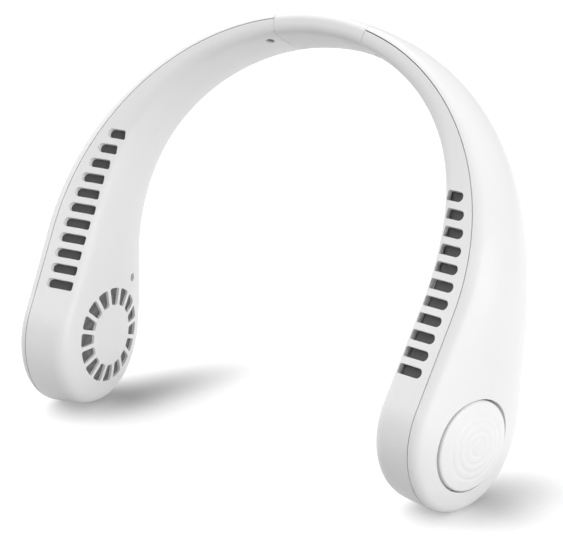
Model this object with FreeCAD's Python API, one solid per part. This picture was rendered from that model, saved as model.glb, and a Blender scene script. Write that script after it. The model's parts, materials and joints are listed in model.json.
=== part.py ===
"""Electric neck fan: a horseshoe of two hollow arms joined by a bendable bridge behind the neck.

Each arm ends in a round lobe that holds a small fan. Air comes in through the ring of slots on
the lobe's inner face and leaves by the row of vents along the arm. Lengths are in millimetres.

The arms are drawn in the ring frame: x to the wearer's right, y away from the vents, z up the
arms, zero at the centre of the arch. Each fan has its own frame: x away from the vents, y up the
arm, z out of the lobe, zero on the parting line. The left arm mirrors the right one.
"""
import FreeCAD
import Part
import math
import os

from FreeCAD import Matrix, Placement, Rotation, Vector

# Ring: the line where the two shells of an arm part
RING_RADIUS = 87.0
TOE_IN = 4.2
FLARE = 6.5
LEG_LENGTH = 32.7
SEAM_ANGLE = 13.1
SEAM_GAP = 0.2
LEAN = 31.16

# Arm section: each size at the arch and at the lobe, and how far up the arm the lobe's size reaches
ARCH_DEPTH = 24.2
LOBE_DEPTH = 54.0
DEPTH_REACH = 28.3
ARCH_FACE = 4.5
LOBE_FACE = 15.6
FACE_REACH = 85.0
FACE_FALL = 4.5
ARCH_BAND = 1.0
LOBE_BAND = 2.2
BAND_REACH = 130.0
ARCH_OUTER_BULGE = 0.3
LOBE_OUTER_BULGE = 7.3
OUTER_BULGE_REACH = 70.0
ARCH_INNER_BULGE = 0.9
LOBE_INNER_BULGE = 5.0
INNER_BULGE_REACH = 44.0
FACE_TILT = 4.0
ARCH_OUTER_CORNER = 2.4
LOBE_OUTER_CORNER = 3.6
ARCH_INNER_CORNER = 3.4
LOBE_INNER_CORNER = 4.6
LEAST_CORNER = 0.4
CORNER_SHARE = 0.45
WALL = 1.8
SECTION_COUNT = 15

# Parting line between the shells, with the lip behind it
PARTING_GAP = 0.35
LIP_THICKNESS = 1.0
LIP_REACH = 1.2
LIP_ROOT = 2.0
FIT_GAP = 0.1

# Bridge
SLEEVE_WALL = 2.0
STRIP_THICKNESS = 0.8
STRIP_WIDTH = 7.0
STRIP_DROP = 1.0
STRIP_SIDE = 13.7
STRIP_HALF_ANGLE = 19.0
STRIP_CLEARANCE = 0.3

# Vents along the arm
VENT_COUNT = 11
VENT_PITCH = 5.9
VENT_FIRST = -38.2
VENT_WIDTH = 3.5
VENT_OUTER_INSET = 3.4
VENT_INNER_INSET = 13.9
VENT_CORNER = 0.7
VENT_TAPER_FROM = -9.0
VENT_TAPER = 0.15
VENT_DEPTH = 6.0

# Gauze screens close behind the vents and the intake slots
SCREEN_THICKNESS = 0.6
SCREEN_DEPTH = 6.0
SCREEN_MARGIN = 0.2

# Intake slots on the lobe
INTAKE_COUNT = 16
INTAKE_INNER_RADIUS = 11.5
INTAKE_OUTER_RADIUS = 17.9
INTAKE_RIB = 1.5
INTAKE_CORNER = 0.9
INTAKE_UP = 1.0
GRILLE_WALL = 1.0
GRILLE_RADIUS = 18.8

# Outer disc: the power button on the right arm, a fixed cover on the left one
DISC_RADIUS = 15.5
DISC_GAP = 0.7
DISC_LOWER = 2.9
DISC_FORWARD = 1.8
DISC_BASE = 3.6
DISC_ROOF = 1.8
DISC_SKIRT = 1.6
POCKET_WALL = 1.2
POCKET_FLOOR_TOP = 2.8
POCKET_FLOOR = 1.2
BUTTON_TRAVEL = 0.6
HOOK_COUNT = 3
HOOK_FIRST_ANGLE = 90.0
HOOK_RADIUS = 10.0
HOOK_WIDTH = 2.4
HOOK_THICKNESS = 1.2
HOOK_BARB = 0.7
HOOK_BARB_HEIGHT = 0.8
HOOK_PLAY = 0.1
HOOK_CLEARANCE = 0.3
STEM_RADIUS = 2.5
STEM_HOLE_RADIUS = 3.4

# Switch and control board under the button
PLUNGER_RADIUS = 1.6
PLUNGER_LENGTH = 1.2
PLUNGER_CLEARANCE = 0.15
PLUNGER_TOP = 0.3
PLUNGER_PLAY = 0.05
SWITCH_SIDE = 6.0
SWITCH_TOP = -0.4
BOARD_TOP = -3.4
BOARD_THICKNESS = 1.2
BOARD_RADIUS = 15.0
BOARD_TAB_HALF = 5.6
BOARD_TAB_TOP = 11.0
BOARD_TAB_REACH = 21.2
BOARD_POST_RADIUS = 1.6
BOARD_POST_PLACE = 11.5
BOARD_POST_ANGLES = (0.0, 180.0)

# Charging socket and charge light on the back edge of the right lobe
SOCKET_WIDTH = 8.9
SOCKET_HEIGHT = 3.2
SOCKET_LENGTH = 7.4
SOCKET_WALL = 0.35
SOCKET_BACK = 1.0
SOCKET_SEAT = 0.05
SOCKET_RECESS = 0.8
SOCKET_CLEARANCE = 0.2
TONGUE_WIDTH = 6.7
TONGUE_HEIGHT = 0.7
TONGUE_RECESS = 0.7
LIGHT_RADIUS = 1.0
LIGHT_UP = 8.6
LIGHT_LENGTH = 6.0
LIGHT_CLEARANCE = 0.1

# Fan: motor plate, motor, shaft and impeller
PLATE_TOP = -6.9
PLATE_THICKNESS = 1.0
PLATE_RADIUS = 20.6
PLATE_BOSS_RADIUS = 2.3
PLATE_BOSS_PLACE = 18.0
PLATE_BOSS_ANGLES = (60.0, 180.0, 300.0)
PLATE_NOTCH = 16.4
SCREW_PILOT = 0.8
SCREW_SHANK = 0.75
SCREW_HEAD = 1.45
SCREW_HEAD_HEIGHT = 1.0
SCREW_LENGTH = 5.0
LEAD_HOLE_RADIUS = 2.2
LEAD_HOLE_PLACE = 13.5
MOTOR_RADIUS = 7.5
MOTOR_LENGTH = 5.3
BEARING_RADIUS = 2.0
BEARING_LENGTH = 3.6
SHAFT_RADIUS = 0.75
RUNNING_GAP = 0.04
IMPELLER_RADIUS = 17.0
IMPELLER_TOP = -14.9
IMPELLER_BASE = -9.4
CUP_WALL = 0.8
CUP_CLEARANCE = 0.7
CUP_ROOF = 0.8
HUB_RADIUS = 2.0
BLADE_COUNT = 17
BLADE_THICKNESS = 0.8
BLADE_SWEEP = 38.0
BLADE_LAG = 0.3
RIM_THICKNESS = 0.8
RIM_HEIGHT = 1.2

# Air duct: the wall round the fan and the floor under the vents
SCROLL_RADIUS = 21.0
SCROLL_WALL = 1.2
DUCT_FLOOR = 11.0
DUCT_FLOOR_THICKNESS = 1.2
DUCT_START = 12.6
DUCT_END = 92.0
DUCT_CLEARANCE = 0.25
SCROLL_MOUTH_LOW = -4.0

# Battery cell behind the duct
CELL_RADIUS = 5.5
CELL_START = 24.0
CELL_LENGTH = 30.0
CELL_DROP = 8.2
CELL_GAP = 0.3
PAD_WIDTH = 8.0
PAD_SHORTER = 3.0

# Screws that close the shells
POST_RADIUS = 2.6
COUNTERBORE_RADIUS = 1.6
POST_SHOULDER = 1.2
SEAM_SCREW_ANGLE = 16.6
SEAM_SCREW_SIDE = 6.2
SEAM_POST_END = -3.3
SEAM_SCREW_LENGTH = 5.2
LOBE_SCREW_UP = 24.6
LOBE_SCREW_SIDE = 31.0
LOBE_POST_END = -5.0
LOBE_SCREW_LENGTH = 5.0

# Wiring
LEAD_RADIUS = 1.0
LEAD_OUT = -1.0
LEAD_SIDE = 18.6
LEAD_START = 22.0
LEAD_END_GAP = 0.3
LEAD_PASSAGE = 0.5

# Room that cutting solids need beyond what they cut: far past a whole piece, or just past a face
OVER = 30.0
PAST = 1.0

# How deep a feature reaches into the one it grows from
ROOT = 0.5


def flared(out, side):
    """Turns a place in the arm's section outwards, away from the vents."""
    turn = math.radians(FLARE)
    return out * math.cos(turn) + side * math.sin(turn), side * math.cos(turn) - out * math.sin(turn)


def ring_point(out, side, along):
    """A point of the right leg: out from the ring's line, side from the vents, along the leg down."""
    toe = math.radians(TOE_IN)
    reach = RING_RADIUS + out
    x = reach * math.cos(toe) - along * math.sin(toe)
    z = -reach * math.sin(toe) - along * math.cos(toe)
    return Vector(x, side, z)


def arch_point(out, side, angle):
    """A point of the arch, at an angle from its top."""
    turn = math.radians(angle)
    reach = RING_RADIUS + out
    return Vector(reach * math.sin(turn), side, reach * math.cos(turn))


def arch_angle(distance):
    """The angle from the arch's top, at a distance up the arm from the fan."""
    return 90.0 + TOE_IN - math.degrees((distance - LEG_LENGTH) / RING_RADIUS)


def arm_point(out, side, distance):
    """A point in the arm's own section, at a distance up the arm from the fan."""
    out, side = flared(out, side)
    if distance <= LEG_LENGTH:
        return ring_point(out, side, LEG_LENGTH - distance)
    return arch_point(out, side, arch_angle(distance))


SEAM_DISTANCE = LEG_LENGTH + RING_RADIUS * math.radians(90.0 + TOE_IN - SEAM_ANGLE)


def swell(arch, lobe, reach, distance):
    """A size that grows smoothly from its value at the arch to its value at the lobe."""
    return arch + (lobe - arch) / math.cosh(distance / reach)


class Section:
    """The outline of the arm, square to it, drawn a given inset inside the skin."""

    def __init__(self, distance, inset):
        full_depth = swell(ARCH_DEPTH, LOBE_DEPTH, DEPTH_REACH, distance)
        wide = 1.0 / (1.0 + (distance / FACE_REACH) ** FACE_FALL)
        self.distance = distance
        self.face = ARCH_FACE + (LOBE_FACE - ARCH_FACE) * wide - inset
        proud = 1.0 / (1.0 + (distance / BAND_REACH) ** FACE_FALL)
        self.band = ARCH_BAND + (LOBE_BAND - ARCH_BAND) * proud - inset
        self.outer_bulge = swell(ARCH_OUTER_BULGE, LOBE_OUTER_BULGE, OUTER_BULGE_REACH, distance)
        self.inner_bulge = swell(ARCH_INNER_BULGE, LOBE_INNER_BULGE, INNER_BULGE_REACH, distance)
        self.middle = full_depth / 2
        self.half = full_depth / 2 - inset
        most = CORNER_SHARE * (self.face + self.band)
        outer = ARCH_OUTER_CORNER + (LOBE_OUTER_CORNER - ARCH_OUTER_CORNER) * wide
        inner = ARCH_INNER_CORNER + (LOBE_INNER_CORNER - ARCH_INNER_CORNER) * wide
        self.outer_corner = min(max(outer - inset, LEAST_CORNER), most)
        self.inner_corner = min(max(inner - inset, LEAST_CORNER), most)

    def face_side(self, out):
        """How far the tilted vent face lies from the middle plane."""
        return self.half + out * math.tan(math.radians(FACE_TILT))

    def bulge_arc(self, level, bulge, corner, sign):
        """Start, middle, end and end direction of half of a bulged side, up to its corner."""
        chord = self.face_side(level)
        radius = (chord * chord + bulge * bulge) / (2 * bulge)
        full_turn = math.asin(chord / radius)
        turn = full_turn - corner / radius
        centre = level + sign * (bulge - radius)

        def at(angle):
            return centre + sign * radius * math.cos(angle), -radius * math.sin(angle)

        direction = (sign * math.sin(turn), math.cos(turn))
        return at(0.0), at(turn / 2), at(turn), direction

    def half_outline(self):
        """Half of the outline, from the middle of the outer side round the front to the inner side."""
        outer = self.bulge_arc(self.band, self.outer_bulge, self.outer_corner, 1)
        inner = self.bulge_arc(-self.face, self.inner_bulge, self.inner_corner, -1)
        slope = math.tan(math.radians(FACE_TILT))
        length = math.hypot(1.0, slope)
        start_out = self.band - self.outer_corner / length
        end_out = -self.face + self.inner_corner / length
        front_start = (start_out, -self.face_side(start_out))
        front_end = (end_out, -self.face_side(end_out))
        outer_corner = crossing(outer[2], outer[3], front_start, (1.0, -slope))
        inner_corner = crossing(inner[2], inner[3], front_end, (1.0, -slope))
        return [
            ("arc", outer[0], outer[1], outer[2]),
            ("corner", outer[2], outer_corner, front_start),
            ("line", front_start, front_end),
            ("corner", front_end, inner_corner, inner[2]),
            ("arc", inner[2], inner[1], inner[0]),
        ]

    def place(self, point):
        return arm_point(point[0], point[1] + self.middle, self.distance)

    def edges(self, outline):
        made = []
        for kind, *points in outline:
            placed = [self.place(point) for point in points]
            if kind == "arc":
                made.append(Part.Arc(*placed).toShape())
            elif kind == "corner":
                curve = Part.BezierCurve()
                curve.setPoles(placed)
                made.append(curve.toShape())
            else:
                made.append(Part.makeLine(*placed))
        return made

    def wire(self):
        front = self.half_outline()
        back = [(kind, *[(out, -side) for out, side in reversed(points)])
                for kind, *points in reversed(front)]
        return Part.Wire(self.edges(front + back))

    def half_face(self):
        front = self.half_outline()
        edges = self.edges(front)
        edges.append(Part.makeLine(self.place(front[-1][-1]), self.place(front[0][1])))
        return Part.Face(Part.Wire(edges))


def crossing(point, direction, other, other_direction):
    """Where two lines of a plane cross."""
    cross = direction[0] * other_direction[1] - direction[1] * other_direction[0]
    dx = other[0] - point[0]
    dy = other[1] - point[1]
    step = (dx * other_direction[1] - dy * other_direction[0]) / cross
    return point[0] + step * direction[0], point[1] + step * direction[1]


def fan_placement():
    """Places the fan's own frame in the ring frame."""
    centre = arm_point(0.0, LOBE_DEPTH / 2, 0.0)
    out = arm_point(1.0, LOBE_DEPTH / 2, 0.0) - centre
    back = arm_point(0.0, LOBE_DEPTH / 2 + 1.0, 0.0) - centre
    up = out.cross(back)
    matrix = Matrix(back.x, up.x, out.x, centre.x,
                    back.y, up.y, out.y, centre.y,
                    back.z, up.z, out.z, centre.z,
                    0, 0, 0, 1)
    return Placement(matrix)


FAN = fan_placement()
FAN_AXIS = FAN.Rotation.multVec(Vector(0, 0, 1))


def on_fan(shape):
    """Moves a shape from the fan's own frame to the ring frame."""
    moved = shape.copy()
    moved.Placement = FAN.multiply(moved.Placement)
    return moved


def on_button(shape):
    """Moves a shape from the outer disc's axis, just below and before the fan's, to the ring frame."""
    return on_fan(shape.translated(Vector(-DISC_FORWARD, -DISC_LOWER, 0)))


def on_intake(shape):
    """Moves a shape from the intake's axis, just above the fan's, to the ring frame."""
    return on_fan(shape.translated(Vector(0, INTAKE_UP, 0)))


def disc(radius, low, high, x=0.0, y=0.0):
    """A cylinder along z in the fan's own frame, between two heights."""
    return Part.makeCylinder(radius, high - low, Vector(x, y, low))


def ring(outer, inner, low, high):
    return disc(outer, low, high).cut(disc(inner, low, high))


def block(x_range, y_range, z_range):
    """A box between three pairs of limits."""
    size = [high - low for low, high in (x_range, y_range, z_range)]
    return Part.makeBox(*size, Vector(x_range[0], y_range[0], z_range[0]))


def turned(shape, angle):
    """A shape turned about the fan's axis, in the fan's own frame."""
    return shape.rotated(Vector(0, 0, 0), Vector(0, 0, 1), angle)


def arm_body(inset, end_wall=0.0):
    """The whole arm inside a given inset: a loft down to the fan, then a half turn round it."""
    top = SEAM_DISTANCE - end_wall - SEAM_GAP / 2
    stations = [top * index / (SECTION_COUNT - 1) for index in range(SECTION_COUNT)]
    wires = [Section(distance, inset).wire() for distance in reversed(stations)]
    arm = Part.makeLoft(wires, True, False)
    round_end = Section(0.0, inset).half_face().revolve(FAN.Base, FAN_AXIS, 180)
    return arm.fuse(round_end)


def parting_wire(shift, side):
    """The ring's line, closed on the neck's side, in one plane across the arms."""
    far = LEG_LENGTH + LOBE_DEPTH
    out, level = flared(shift, side)
    start = arch_point(out, level, SEAM_ANGLE / 2)
    middle = arch_point(out, level, (SEAM_ANGLE / 2 + 90.0 + TOE_IN) / 2)
    end = ring_point(out, level, 0.0)
    low = ring_point(out, level, far)
    low_inner = ring_point(out - LOBE_FACE - OVER, level, far)
    return Part.Wire([
        Part.Arc(start, middle, end).toShape(),
        Part.makeLine(end, low),
        Part.makeLine(low, low_inner),
        Part.makeLine(low_inner, start),
    ])


def inside_parting(shift):
    """Everything on the neck's side of the parting line, moved out by a shift."""
    wires = [parting_wire(shift, -OVER), parting_wire(shift, LOBE_DEPTH + OVER)]
    return Part.makeLoft(wires, True, True)


def parting_band(low, high):
    """The layer between two distances out from the parting line."""
    return inside_parting(high).cut(inside_parting(low))


def vent(index):
    """One vent: square with small corners at its inner end, round at its outer end."""
    along = VENT_FIRST + VENT_PITCH * index
    taper = VENT_TAPER * max(0.0, VENT_TAPER_FROM - along)

    def out_at(inset):
        reach = RING_RADIUS - inset
        if along < 0:
            reach = math.sqrt(reach * reach - along * along)
        return reach - RING_RADIUS

    half = VENT_WIDTH / 2
    inner = out_at(VENT_INNER_INSET - taper)
    outer = out_at(VENT_OUTER_INSET) - half
    bend = VENT_CORNER * (1 - math.sqrt(0.5))

    def at(out, shift):
        return ring_point(out, -OVER, along + shift)

    straight = half - VENT_CORNER
    edges = [
        Part.makeLine(at(inner + VENT_CORNER, half), at(outer, half)),
        Part.Arc(at(outer, half), at(outer + half, 0.0), at(outer, -half)).toShape(),
        Part.makeLine(at(outer, -half), at(inner + VENT_CORNER, -half)),
        Part.Arc(at(inner + VENT_CORNER, -half), at(inner + bend, bend - half),
                 at(inner, -straight)).toShape(),
        Part.makeLine(at(inner, -straight), at(inner, straight)),
        Part.Arc(at(inner, straight), at(inner + bend, half - bend),
                 at(inner + VENT_CORNER, half)).toShape(),
    ]
    return Part.Face(Part.Wire(edges)).extrude(Vector(0, OVER + VENT_DEPTH, 0))


def vent_screen():
    """A strip of gauze on the inside of the vent face, bent over its inner edge."""
    near = WALL + FIT_GAP
    layer = arm_body(near, WALL).cut(arm_body(near + SCREEN_THICKNESS, WALL))
    layer = layer.common(inside_parting(-LIP_ROOT - SCREEN_MARGIN))
    low = VENT_FIRST - VENT_PITCH
    high = VENT_FIRST + VENT_PITCH * VENT_COUNT
    corners = [ring_point(out, -OVER, along)
               for out, along in ((-OVER, low), (OVER, low), (OVER, high), (-OVER, high), (-OVER, low))]
    span = Part.Face(Part.makePolygon(corners)).extrude(Vector(0, OVER + SCREEN_DEPTH, 0))
    return layer.common(span)


def intake_slots():
    """The ring of wedge-shaped slots, square to the fan, with small corners."""
    low = -LOBE_FACE - OVER
    high = -LOBE_FACE + WALL + PAST
    pitch = 360.0 / INTAKE_COUNT
    half_sine = math.sin(math.radians(pitch / 2))
    inner_half = INTAKE_INNER_RADIUS * half_sine - INTAKE_RIB / 2
    outer_half = INTAKE_OUTER_RADIUS * half_sine - INTAKE_RIB / 2
    inner_base = math.sqrt(INTAKE_INNER_RADIUS ** 2 - inner_half ** 2)
    outer_base = math.sqrt(INTAKE_OUTER_RADIUS ** 2 - outer_half ** 2)
    points = [Vector(inner_base, -inner_half, low), Vector(outer_base, -outer_half, low),
              Vector(INTAKE_OUTER_RADIUS, 0, low), Vector(outer_base, outer_half, low),
              Vector(inner_base, inner_half, low), Vector(INTAKE_INNER_RADIUS, 0, low)]
    edges = [
        Part.makeLine(points[0], points[1]),
        Part.Arc(points[1], points[2], points[3]).toShape(),
        Part.makeLine(points[3], points[4]),
        Part.Arc(points[4], points[5], points[0]).toShape(),
    ]
    slot = Part.Face(Part.Wire(edges)).extrude(Vector(0, 0, high - low))
    upright = [edge for edge in slot.Edges if edge.BoundBox.ZLength > OVER / 2]
    slot = slot.makeFillet(min(INTAKE_CORNER, CORNER_SHARE * inner_half * 2), upright)
    return [on_intake(turned(slot, pitch * index)) for index in range(INTAKE_COUNT)]


def grille_recess():
    """Where the intake's wall is thinned from the inside, to seat its gauze."""
    return arm_body(GRILLE_WALL, WALL).common(grille_column(GRILLE_RADIUS))


def grille_column(radius):
    return on_intake(disc(radius, -LOBE_FACE - OVER, -LOBE_FACE + WALL + PAST))


def intake_screen():
    """A round of gauze in the recess behind the intake slots."""
    near = GRILLE_WALL + FIT_GAP
    layer = arm_body(near, WALL).cut(arm_body(near + SCREEN_THICKNESS, WALL))
    return layer.common(grille_column(GRILLE_RADIUS - FIT_GAP))


def outward(distance):
    """The direction out of the arm at a distance up from the fan."""
    return (arm_point(1.0, 0.0, distance) - arm_point(0.0, 0.0, distance)).normalize()


def peg(radius, low, high, side, distance):
    """A cylinder across the arm, between two distances out from the parting line."""
    return Part.makeCylinder(radius, high - low, arm_point(low, side, distance), outward(distance))


SEAM_SCREW_UP = LEG_LENGTH + RING_RADIUS * math.radians(90.0 + TOE_IN - SEAM_SCREW_ANGLE)

# Each closing screw: side, distance up the arm, end of its post and length of its thread
SHELL_SCREWS = (
    (SEAM_SCREW_SIDE, SEAM_SCREW_UP, SEAM_POST_END, SEAM_SCREW_LENGTH),
    (LOBE_SCREW_SIDE, LOBE_SCREW_UP, LOBE_POST_END, LOBE_SCREW_LENGTH),
)


def hook_slots():
    """Openings in the pocket's floor for the disc's hooks."""
    reach = HOOK_RADIUS + HOOK_BARB + HOOK_CLEARANCE
    slot = block((HOOK_RADIUS - HOOK_THICKNESS - HOOK_CLEARANCE, reach),
                 (-HOOK_WIDTH / 2 - HOOK_CLEARANCE, HOOK_WIDTH / 2 + HOOK_CLEARANCE),
                 (POCKET_FLOOR_TOP - POCKET_FLOOR - OVER, POCKET_FLOOR_TOP + PAST))
    return [turned(slot, 360.0 / HOOK_COUNT * index + HOOK_FIRST_ANGLE) for index in range(HOOK_COUNT)]


def board_posts():
    places = [turned_point(BOARD_POST_PLACE, angle) for angle in BOARD_POST_ANGLES]
    low_floor = POCKET_FLOOR_TOP - POCKET_FLOOR / 2
    return [disc(BOARD_POST_RADIUS, BOARD_TOP, low_floor, x, y) for x, y in places]


def turned_point(radius, angle):
    turn = math.radians(angle)
    return radius * math.cos(turn), radius * math.sin(turn)


def plate_places():
    return [turned_point(PLATE_BOSS_PLACE, angle) for angle in PLATE_BOSS_ANGLES]


def strip_solid(grow, half_angle):
    """The spring strip's band, from the arch's top to an angle on each side."""
    low = -STRIP_DROP - STRIP_THICKNESS / 2 - grow
    high = low + STRIP_THICKNESS + 2 * grow
    half_width = STRIP_WIDTH / 2 + grow
    corners = [(low, -half_width), (high, -half_width), (high, half_width), (low, half_width)]
    points = [arch_point(*flared(out, STRIP_SIDE + side), -half_angle) for out, side in corners]
    face = Part.Face(Part.makePolygon(points + points[:1]))
    return face.revolve(Vector(0, 0, 0), Vector(0, 1, 0), 2 * half_angle)


def lead_line(grow, end_angle):
    """A lead along the arm: straight past the battery, then round the arch to near the bridge."""
    out, side = flared(LEAD_OUT, LEAD_SIDE)
    start = arm_point(LEAD_OUT, LEAD_SIDE, LEAD_START)
    bend = arm_point(LEAD_OUT, LEAD_SIDE, LEG_LENGTH)
    middle = arch_point(out, side, (90.0 + TOE_IN + end_angle) / 2)
    arc = Part.Arc(bend, middle, arch_point(out, side, end_angle)).toShape()
    path = Part.Wire([Part.makeLine(start, bend), arc])
    mouth = Part.Wire(Part.makeCircle(LEAD_RADIUS + grow, start, bend - start))
    return path.makePipeShell([mouth], True, True)


def bridge_passages():
    """Room in the arm's end wall for the spring strip and the lead."""
    strip_room = strip_solid(STRIP_CLEARANCE, STRIP_HALF_ANGLE + PAST)
    return [strip_room, lead_line(LEAD_PASSAGE, SEAM_ANGLE - PAST)]


def outer_shell(skin, hollow):
    """The shell away from the neck, with the disc's pocket, the fan's bosses and the screw bosses."""
    shell = skin.cut(hollow).cut(inside_parting(PARTING_GAP / 2))
    floor_low = POCKET_FLOOR_TOP - POCKET_FLOOR
    pocket_radius = DISC_RADIUS + DISC_GAP
    added = [on_button(disc(pocket_radius + POCKET_WALL, floor_low, OVER)).common(skin)]
    for x, y in plate_places():
        added.append(on_fan(disc(PLATE_BOSS_RADIUS, PLATE_TOP, OVER, x, y)).common(skin))
    for side, distance, post_end, _ in SHELL_SCREWS:
        boss = peg(POST_RADIUS, post_end + FIT_GAP, OVER, side, distance)
        added.append(boss.common(skin))
    shell = shell.multiFuse(added)
    removed = [on_button(disc(pocket_radius, POCKET_FLOOR_TOP, OVER)),
               on_button(disc(STEM_HOLE_RADIUS, floor_low - FIT_GAP, OVER))]
    removed.extend(on_button(slot) for slot in hook_slots())
    for x, y in plate_places():
        removed.append(on_fan(disc(SCREW_PILOT, PLATE_TOP - FIT_GAP, PLATE_TOP + SCREW_LENGTH, x, y)))
    for side, distance, post_end, length in SHELL_SCREWS:
        removed.append(peg(SCREW_PILOT, post_end - FIT_GAP, post_end + length, side, distance))
    removed.extend(bridge_passages())
    return shell.cut(Part.makeCompound(removed))


def inner_shell(skin, hollow, lip_skin, lip_root, lip_hollow):
    """The neck's shell, with the vents, the intake slots, the lip and the screw posts."""
    shell = skin.cut(hollow).common(inside_parting(-PARTING_GAP / 2))
    lip = lip_skin.cut(lip_hollow).common(parting_band(-LIP_ROOT, LIP_REACH))
    root = lip_root.cut(lip_hollow).common(parting_band(-LIP_ROOT, -PARTING_GAP / 2))
    added = [lip, root]
    for side, distance, post_end, _ in SHELL_SCREWS:
        added.append(peg(POST_RADIUS, -OVER, post_end, side, distance).common(skin))
    shell = shell.multiFuse(added)
    removed = [vent(index) for index in range(VENT_COUNT)] + intake_slots() + [grille_recess()]
    for side, distance, post_end, _ in SHELL_SCREWS:
        seat = post_end - POST_SHOULDER
        removed.append(peg(COUNTERBORE_RADIUS, -OVER, seat, side, distance))
        removed.append(peg(SCREW_PILOT + FIT_GAP, -OVER, OVER, side, distance))
        removed.append(peg(POST_RADIUS + FIT_GAP, post_end, OVER, side, distance))
    pocket_radius = DISC_RADIUS + DISC_GAP + POCKET_WALL + FIT_GAP
    removed.append(on_button(disc(pocket_radius, POCKET_FLOOR_TOP - POCKET_FLOOR - FIT_GAP, OVER)))
    for x, y in plate_places():
        removed.append(on_fan(disc(PLATE_BOSS_RADIUS + FIT_GAP, PLATE_TOP, OVER, x, y)))
    removed.extend(bridge_passages())
    return shell.cut(Part.makeCompound(removed))


def with_board_posts(shell):
    """The right outer shell: it also holds the control board."""
    return shell.multiFuse([on_fan(post) for post in board_posts()])


def with_charge_openings(shell):
    """The right inner shell: it also lets the charging socket and its light through."""
    socket_room = socket_outline(SOCKET_CLEARANCE, lobe_edge(0.0) - SOCKET_LENGTH, OVER)
    openings = [on_fan(socket_room), on_fan(light_rod(LIGHT_CLEARANCE, OVER))]
    return shell.cut(Part.makeCompound(openings))


def socket_middle():
    return BOARD_TOP - BOARD_THICKNESS - SOCKET_SEAT - SOCKET_HEIGHT / 2


def socket_outline(grow, low, high):
    """A lying stadium bar along x in the fan's own frame, at the socket's height."""
    height = SOCKET_HEIGHT + 2 * grow
    reach = SOCKET_WIDTH / 2 - SOCKET_HEIGHT / 2
    middle = socket_middle()
    start = Vector(low, 0, middle)
    bar = block((low, high), (-reach, reach), (middle - height / 2, middle + height / 2))
    ends = [Part.makeCylinder(height / 2, high - low, start + Vector(0, side, 0), Vector(1, 0, 0))
            for side in (-reach, reach)]
    return bar.multiFuse(ends).removeSplitter()


def lobe_edge(up):
    """How far back the lobe's edge lies at a height above the fan's axis."""
    half = LOBE_DEPTH / 2
    return math.sqrt(half * half - up * up)


def light_rod(grow, extra=0.0):
    end = lobe_edge(LIGHT_UP) - SOCKET_RECESS / 2
    height = BOARD_TOP - BOARD_THICKNESS - SOCKET_SEAT - LIGHT_RADIUS
    start = Vector(end - LIGHT_LENGTH, LIGHT_UP, height)
    return Part.makeCylinder(LIGHT_RADIUS + grow, LIGHT_LENGTH + extra, start, Vector(1, 0, 0))


def disc_cap():
    """The round cap with its skirt and hooks, in the fan's own frame."""
    section = Section(0.0, 0.0)
    bulge = section.outer_bulge
    half = section.face_side(section.band)
    dome_radius = (half * half + bulge * bulge) / (2 * bulge)
    top = LOBE_BAND + bulge
    dome = Part.makeSphere(dome_radius, Vector(DISC_FORWARD, DISC_LOWER, top - dome_radius))
    cap = disc(DISC_RADIUS, DISC_BASE, top + PAST).common(dome)
    farthest = DISC_RADIUS + math.hypot(DISC_FORWARD, DISC_LOWER)
    roof = top - DISC_ROOF - farthest ** 2 / (2 * dome_radius)
    cap = cap.cut(disc(DISC_RADIUS - DISC_SKIRT, DISC_BASE - PAST, roof))
    barb_top = POCKET_FLOOR_TOP - POCKET_FLOOR - HOOK_PLAY
    barb_low = barb_top - HOOK_BARB_HEIGHT
    leg = block((HOOK_RADIUS - HOOK_THICKNESS, HOOK_RADIUS), (-HOOK_WIDTH / 2, HOOK_WIDTH / 2),
                (barb_low, roof + ROOT))
    barb = block((HOOK_RADIUS - ROOT, HOOK_RADIUS + HOOK_BARB), (-HOOK_WIDTH / 2, HOOK_WIDTH / 2),
                 (barb_low, barb_top))
    hook = leg.fuse(barb)
    hooks = [turned(hook, 360.0 / HOOK_COUNT * index + HOOK_FIRST_ANGLE) for index in range(HOOK_COUNT)]
    return cap.multiFuse(hooks), roof


def power_button():
    cap, roof = disc_cap()
    stem = disc(STEM_RADIUS, PLUNGER_TOP + PLUNGER_PLAY, roof + ROOT)
    return on_button(cap.fuse(stem))


def cover_disc():
    return on_button(disc_cap()[0])


def switch_plunger():
    return on_button(disc(PLUNGER_RADIUS, PLUNGER_TOP - PLUNGER_LENGTH, PLUNGER_TOP))


def switch_body():
    half = SWITCH_SIDE / 2
    body = block((-half, half), (-half, half), (BOARD_TOP, SWITCH_TOP))
    well_low = PLUNGER_TOP - PLUNGER_LENGTH - BUTTON_TRAVEL - PLUNGER_PLAY
    return on_button(body.cut(disc(PLUNGER_RADIUS + PLUNGER_CLEARANCE, well_low, OVER)))


def control_board():
    low = BOARD_TOP - BOARD_THICKNESS
    tab = block((0, BOARD_TAB_REACH), (-BOARD_TAB_HALF, BOARD_TAB_HALF), (low, BOARD_TOP))
    light_reach = lobe_edge(LIGHT_UP) - SOCKET_RECESS / 2 - LIGHT_LENGTH / 2
    light_tab = block((0, light_reach), (0, BOARD_TAB_TOP), (low, BOARD_TOP))
    return on_fan(disc(BOARD_RADIUS, low, BOARD_TOP).multiFuse([tab, light_tab]).removeSplitter())


def charge_socket():
    end = lobe_edge(0.0) - SOCKET_RECESS
    start = end - SOCKET_LENGTH
    body = socket_outline(0.0, start, end)
    body = body.cut(socket_outline(-SOCKET_WALL, start + SOCKET_BACK, OVER))
    middle = socket_middle()
    tongue = block((start + ROOT, end - TONGUE_RECESS), (-TONGUE_WIDTH / 2, TONGUE_WIDTH / 2),
                   (middle - TONGUE_HEIGHT / 2, middle + TONGUE_HEIGHT / 2))
    return on_fan(body.fuse(tongue))


def charge_light():
    return on_fan(light_rod(0.0))


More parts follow.
